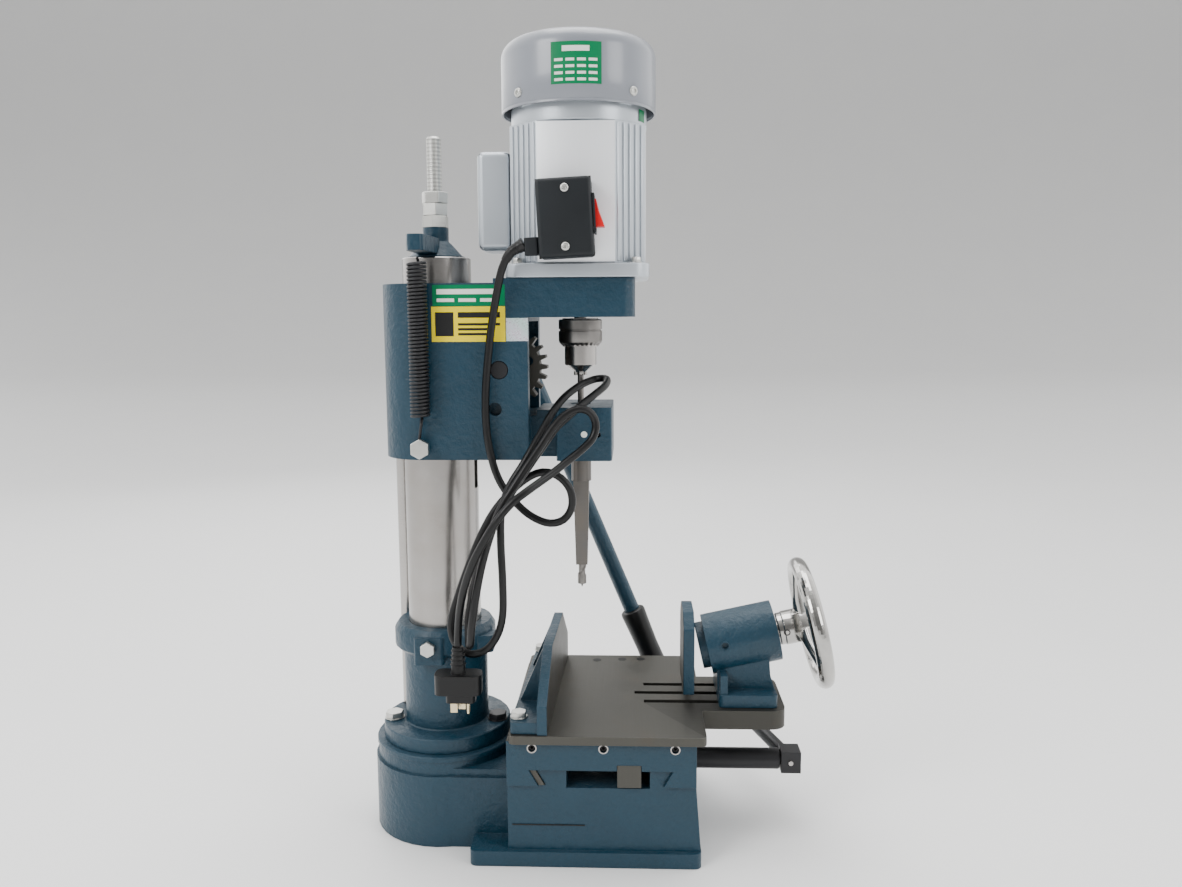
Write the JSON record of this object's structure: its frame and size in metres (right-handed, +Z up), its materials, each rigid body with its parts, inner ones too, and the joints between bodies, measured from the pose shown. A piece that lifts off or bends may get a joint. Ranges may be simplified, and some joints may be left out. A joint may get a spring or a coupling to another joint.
{
  "type": "bench hollow-chisel mortiser",
  "caption": "Bench drill press for square mortises: column, sliding motor head with geared feed lever, hollow chisel, cross-sliding table with fence, and screw vise with handwheel.",
  "frame": {"origin": "the column's axis in the plane of the base's underside", "axes": "+X from the column to the vise and its handwheel, +Y to the feed lever's side, +Z up"},
  "size_m": [0.442, 0.3, 0.747],
  "materials": {
    "auger_bit": "ground steel",
    "base_casting": "dark teal enamel over cast iron",
    "capacitor_box": "grey enamel",
    "chisel": "ground steel",
    "chuck_body": "ground steel",
    "chuck_sleeve": "ground steel",
    "column_cap": "dark teal enamel over cast iron",
    "column_rack": "ground steel",
    "column_socket": "dark teal enamel over cast iron",
    "column_tube": "ground steel",
    "cooling_fan": "black",
    "fan_cover": "grey enamel",
    "feed_gear": "machined, bare",
    "feed_lever": "dark teal enamel over cast iron",
    "feed_lever_grip": "black",
    "feed_shaft": "ground steel",
    "fence": "dark teal enamel over cast iron",
    "fence_bolt_1": "zinc plate",
    "fence_bolt_2": "zinc plate",
    "gib": "ground steel",
    "guide_rod": "ground steel",
    "handwheel": "polished",
    "head_casting": "dark teal enamel over cast iron",
    "jaw_plate": "dark teal enamel over cast iron",
    "lower_bearing": "ground steel",
    "motor_flange": "cast and painted silver grey",
    "motor_housing": "cast and painted silver grey",
    "motor_stator": "laminations with copper windings",
    "motor_top_bell": "cast and painted silver grey",
    "plug_body": "black",
    "plug_pin_1": "plain",
    "plug_pin_2": "plain",
    "plug_pin_3": "plain",
    "power_cord": "black",
    "quill": "dark teal enamel over cast iron",
    "return_spring": "black oxide",
    "rocker_button": "red",
    "rocker_frame": "black",
    "rotor_shaft": "ground steel",
    "socket_bolt_1": "zinc plate",
    "socket_bolt_2": "zinc plate",
    "socket_bolt_3": "zinc plate",
    "socket_lock_bolt": "zinc plate",
    "spring_bolt": "zinc plate",
    "strain_relief": "black",
    "switch_box": "black",
    "table_rack": "machined, bare",
    "table_saddle": "machined, bare",
    "tie_rod": "zinc plate",
    "tie_rod_nut_1": "zinc plate",
    "tie_rod_nut_2": "zinc plate",
    "tie_rod_nut_3": "zinc plate",
    "traverse_lever": "black oxide",
    "traverse_shaft": "black oxide",
    "upper_bearing": "ground steel",
    "vise_body": "dark teal enamel over cast iron",
    "vise_bolt_1": "zinc plate",
    "vise_bolt_2": "zinc plate",
    "vise_screw": "ground steel"
  },
  "bodies": {
    "base": {"base_casting": "base_casting", "column_socket": "column_socket", "socket_bolt_1": "socket_bolt_1", "socket_bolt_2": "socket_bolt_2", "socket_bolt_3": "socket_bolt_3", "socket_lock_bolt": "socket_lock_bolt", "column_tube": "column_tube", "column_rack": "column_rack", "guide_rod": "guide_rod", "column_cap": "column_cap", "tie_rod": "tie_rod", "tie_rod_nut_1": "tie_rod_nut_1", "tie_rod_nut_2": "tie_rod_nut_2", "tie_rod_nut_3": "tie_rod_nut_3", "return_spring": "return_spring"},
    "traverse_shaft": {"traverse_shaft": "traverse_shaft"},
    "traverse_lever": {"traverse_lever": "traverse_lever"},
    "head": {"head_casting": "head_casting", "motor_flange": "motor_flange", "motor_housing": "motor_housing", "motor_top_bell": "motor_top_bell", "fan_cover": "fan_cover", "capacitor_box": "capacitor_box", "switch_box": "switch_box", "rocker_frame": "rocker_frame", "strain_relief": "strain_relief", "power_cord": "power_cord", "plug_body": "plug_body", "plug_pin_1": "plug_pin_1", "plug_pin_2": "plug_pin_2", "plug_pin_3": "plug_pin_3", "spring_bolt": "spring_bolt", "chisel": "chisel", "motor_stator": "motor_stator", "lower_bearing": "lower_bearing", "upper_bearing": "upper_bearing"},
    "spindle": {"rotor_shaft": "rotor_shaft", "cooling_fan": "cooling_fan", "chuck_body": "chuck_body", "chuck_sleeve": "chuck_sleeve", "auger_bit": "auger_bit"},
    "feed_shaft": {"feed_shaft": "feed_shaft", "feed_gear": "feed_gear"},
    "feed_lever": {"feed_lever": "feed_lever", "feed_lever_grip": "feed_lever_grip"},
    "rocker": {"rocker_button": "rocker_button"},
    "table": {"table_saddle": "table_saddle", "gib": "gib", "table_rack": "table_rack", "fence": "fence", "fence_bolt_1": "fence_bolt_1", "fence_bolt_2": "fence_bolt_2", "vise_body": "vise_body", "vise_bolt_1": "vise_bolt_1", "vise_bolt_2": "vise_bolt_2"},
    "jaw": {"quill": "quill", "jaw_plate": "jaw_plate"},
    "handwheel": {"vise_screw": "vise_screw", "handwheel": "handwheel"}
  },
  "joints": [
    {"name": "head_slide", "type": "slide", "parent": "base", "child": "head", "axis": [0, 0, -1], "range_m": [0, 0.095], "stiffness_N_per_m": 900, "springref_m": -0.42, "deforming": ["return_spring"]},
    {"name": "feed_shaft_turn", "type": "hinge", "parent": "head", "child": "feed_shaft", "pos_m": [0.065, 0, 0.447], "axis": [0, 1, 0], "range_deg": [0, 151.2]},
    {"name": "feed_lever_swing", "type": "hinge", "parent": "head", "child": "feed_lever", "pos_m": [0.065, 0.158, 0.447], "axis": [0, -1, 0], "range_deg": [0, 100]},
    {"name": "spindle", "type": "hinge", "parent": "head", "child": "spindle", "pos_m": [0.135, 0, 0.4925], "axis": [0, 0, -1], "continuous": true},
    {"name": "rocker", "type": "hinge", "parent": "head", "child": "rocker", "pos_m": [0.15036, -0.076, 0.5807], "axis": [0, 1, 0], "range_deg": [0, 20]},
    {"name": "table_slide", "type": "slide", "parent": "base", "child": "table", "axis": [0, 1, 0], "range_m": [-0.035, 0.035]},
    {"name": "traverse_shaft_turn", "type": "hinge", "parent": "base", "child": "traverse_shaft", "pos_m": [0.3265, -0.01, 0.064], "axis": [-1, 0, 0], "range_deg": [-205.7, 205.7]},
    {"name": "traverse_lever_swing", "type": "hinge", "parent": "base", "child": "traverse_lever", "pos_m": [0.3375, -0.01, 0.064], "axis": [1, 0, 0], "range_deg": [-15, 10]},
    {"name": "handwheel_turn", "type": "hinge", "parent": "table", "child": "handwheel", "pos_m": [0.323, 0, 0.191], "axis": [-0.9755, 0, -0.2198], "range_deg": [0, 2160]},
    {"name": "jaw_slide", "type": "slide", "parent": "table", "child": "jaw", "axis": [-0.9755, 0, -0.2198], "range_m": [0, 0.03]}
  ],
  "couplings": [
    {"joint": "feed_shaft_turn", "follows": "head_slide", "rad_per_m": 27.778},
    {"joint": "traverse_shaft_turn", "follows": "table_slide", "rad_per_m": 102.56},
    {"joint": "jaw_slide", "follows": "handwheel_turn", "m_per_rad": 0.00079577}
  ]
}
